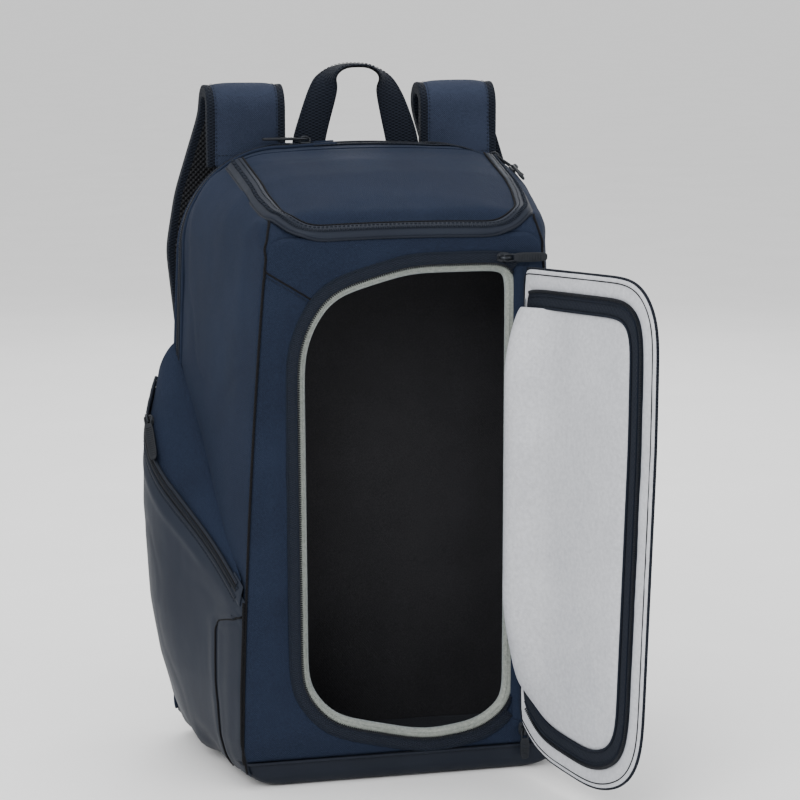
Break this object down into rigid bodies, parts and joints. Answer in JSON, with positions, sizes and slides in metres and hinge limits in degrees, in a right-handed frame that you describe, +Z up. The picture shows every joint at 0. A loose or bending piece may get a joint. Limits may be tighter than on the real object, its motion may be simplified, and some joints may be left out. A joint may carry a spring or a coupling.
{
  "type": "racket backpack",
  "caption": "Racket backpack with a front door, a top pocket lid, coated side pockets, a rear racket compartment, padded shoulder straps and a grab handle.",
  "frame": {"origin": "middle of the base, on the surface the bag stands on", "axes": "+Z up, -Y towards the front door, +Y towards the shoulder straps, +X to the right seen from the front"},
  "size_m": [0.3832, 0.4046, 0.574],
  "materials": {
    "navy_fabric": "woven",
    "coated_fabric": "matt coated",
    "pale_lining": "plain weave",
    "binding": "plain weave",
    "webbing": "ribbed",
    "air_mesh": "mesh",
    "zip_tape": "knitted",
    "dark_plastic": "moulded",
    "slider_metal": "satin",
    "board": "matt",
    "dark_lining": "plain weave"
  },
  "bodies": {
    "bag": {"base_boot": "coated_fabric", "front_panel": "navy_fabric", "back_panel": "navy_fabric", "side_panel_left": "navy_fabric", "side_panel_right": "navy_fabric", "top_strip": "navy_fabric", "top_pocket_tray": "pale_lining", "compartment_lining": "dark_lining", "compartment_divider": "dark_lining", "base_board": "board", "back_board": "board", "opening_binding": "binding", "door_zip_outer": "zip_tape", "door_hinge_tape": "navy_fabric", "side_pocket_left": "coated_fabric", "side_pocket_right": "coated_fabric", "side_zip_left": "zip_tape", "side_zip_right": "zip_tape", "back_pad_left": "air_mesh", "back_pad_right": "air_mesh", "lumbar_pad": "air_mesh", "yoke": "navy_fabric", "rear_zip_left": "zip_tape", "rear_zip_right": "zip_tape", "slot_tapes": "zip_tape", "strap_anchor_left": "navy_fabric", "strap_anchor_right": "navy_fabric", "lower_webbing_left": "webbing", "lower_webbing_right": "webbing"},
    "door": {"door_panel": "navy_fabric", "door_piping": "webbing", "door_gusset": "pale_lining", "door_zip_inner": "zip_tape", "door_lining": "pale_lining"},
    "lid": {"lid_panel": "navy_fabric", "lid_band": "coated_fabric", "lid_lining": "pale_lining"},
    "handle": {"grab_handle": "webbing"},
    "strap_left": {"strap_pad_left": "navy_fabric", "strap_mesh_left": "air_mesh", "lock_loop_left": "webbing"},
    "lock_left": {"ladder_lock_left": "dark_plastic"},
    "strap_right": {"strap_pad_right": "navy_fabric", "strap_mesh_right": "air_mesh", "lock_loop_right": "webbing"},
    "lock_right": {"ladder_lock_right": "dark_plastic"},
    "door_top_slider": {"door_top_slider": "slider_metal"},
    "door_top_pull": {"door_top_pull": "dark_plastic"},
    "door_bottom_slider": {"door_bottom_slider": "slider_metal"},
    "door_bottom_pull": {"door_bottom_pull": "dark_plastic"},
    "rear_left_slider": {"rear_left_slider": "slider_metal"},
    "rear_left_pull": {"rear_left_pull": "dark_plastic"},
    "rear_right_slider": {"rear_right_slider": "slider_metal"},
    "rear_right_pull": {"rear_right_pull": "dark_plastic"},
    "lid_slider": {"lid_slider": "slider_metal"},
    "lid_pull": {"lid_pull": "dark_plastic"},
    "side_left_slider": {"side_left_slider": "slider_metal"},
    "side_left_pull": {"side_left_pull": "dark_plastic"},
    "side_right_slider": {"side_right_slider": "slider_metal"},
    "side_right_pull": {"side_right_pull": "dark_plastic"}
  },
  "joints": [
    {"name": "door_swing", "type": "hinge", "parent": "bag", "child": "door", "pos_m": [0.095, -0.0965, 0.22], "axis": [0, 0, 1], "range_deg": [-106, 60]},
    {"name": "lid_swing", "type": "hinge", "parent": "bag", "child": "lid", "pos_m": [0, 0.05, 0.503], "axis": [-1, 0, 0], "range_deg": [0, 100]},
    {"name": "handle_swing", "type": "hinge", "parent": "bag", "child": "handle", "pos_m": [0, 0.087, 0.5065], "axis": [-1, 0, 0], "range_deg": [-45, 40], "stiffness_Nm_per_rad": 0.05},
    {"name": "strap_left_swing", "type": "hinge", "parent": "bag", "child": "strap_left", "pos_m": [-0.092, 0.09, 0.5], "axis": [1, 0, 0], "range_deg": [-3, 25]},
    {"name": "lock_left_tilt", "type": "hinge", "parent": "strap_left", "child": "lock_left", "pos_m": [-0.115, 0.124, 0.163], "axis": [1, 0, 0], "range_deg": [-20, 40]},
    {"name": "strap_right_swing", "type": "hinge", "parent": "bag", "child": "strap_right", "pos_m": [0.092, 0.09, 0.5], "axis": [1, 0, 0], "range_deg": [-3, 25]},
    {"name": "lock_right_tilt", "type": "hinge", "parent": "strap_right", "child": "lock_right", "pos_m": [0.115, 0.124, 0.163], "axis": [1, 0, 0], "range_deg": [-20, 40]},
    {"name": "door_top_slide", "type": "slide", "parent": "bag", "child": "door_top_slider", "axis": [-1, 0, 0], "range_m": [0, 0.045]},
    {"name": "door_top_pull_lift", "type": "hinge", "parent": "door_top_slider", "child": "door_top_pull", "pos_m": [0.08, -0.0991, 0.427], "axis": [0, 0, -1], "range_deg": [0, 100]},
    {"name": "door_bottom_slide", "type": "slide", "parent": "bag", "child": "door_bottom_slider", "axis": [-0.3, 0, -0.9539], "range_m": [0, 0.012]},
    {"name": "door_bottom_pull_lift", "type": "hinge", "parent": "door_bottom_slider", "child": "door_bottom_pull", "pos_m": [0.099, -0.0991, 0.036], "axis": [-1, 0, 0], "range_deg": [0, 55]},
    {"name": "rear_left_slide", "type": "slide", "parent": "bag", "child": "rear_left_slider", "axis": [1, 0, 0], "range_m": [0, 0.06]},
    {"name": "rear_left_pull_lift", "type": "hinge", "parent": "rear_left_slider", "child": "rear_left_pull", "pos_m": [-0.046, 0.0735, 0.5111], "axis": [0, 1, 0], "range_deg": [0, 100]},
    {"name": "rear_right_slide", "type": "slide", "parent": "bag", "child": "rear_right_slider", "axis": [-0.8601, 0, 0.5101], "range_m": [0, 0.016]},
    {"name": "rear_right_pull_lift", "type": "hinge", "parent": "rear_right_slider", "child": "rear_right_pull", "pos_m": [0.12076, 0.0735, 0.49395], "axis": [0, -1, 0], "range_deg": [0, 65]},
    {"name": "lid_slide", "type": "slide", "parent": "bag", "child": "lid_slider", "axis": [-0.046, -0.9636, -0.2632], "range_m": [0, 0.03]},
    {"name": "lid_pull_lift", "type": "hinge", "parent": "lid_slider", "child": "lid_pull", "pos_m": [0.1284, 0.04044, 0.4864], "axis": [-0.7226, -0.1498, 0.6748], "range_deg": [0, 90]},
    {"name": "side_left_slide", "type": "slide", "parent": "bag", "child": "side_left_slider", "axis": [0, -0.765, -0.644], "range_m": [0, 0.03]},
    {"name": "side_left_pull_lift", "type": "hinge", "parent": "side_left_slider", "child": "side_left_pull", "pos_m": [-0.1877, 0.04392, 0.28435], "axis": [-0.893, 0.2899, -0.3443], "range_deg": [0, 90]},
    {"name": "side_right_slide", "type": "slide", "parent": "bag", "child": "side_right_slider", "axis": [0, -0.765, -0.644], "range_m": [0, 0.03]},
    {"name": "side_right_pull_lift", "type": "hinge", "parent": "side_right_slider", "child": "side_right_pull", "pos_m": [0.1877, 0.04392, 0.28435], "axis": [-0.893, -0.2899, 0.3443], "range_deg": [0, 90]}
  ]
}
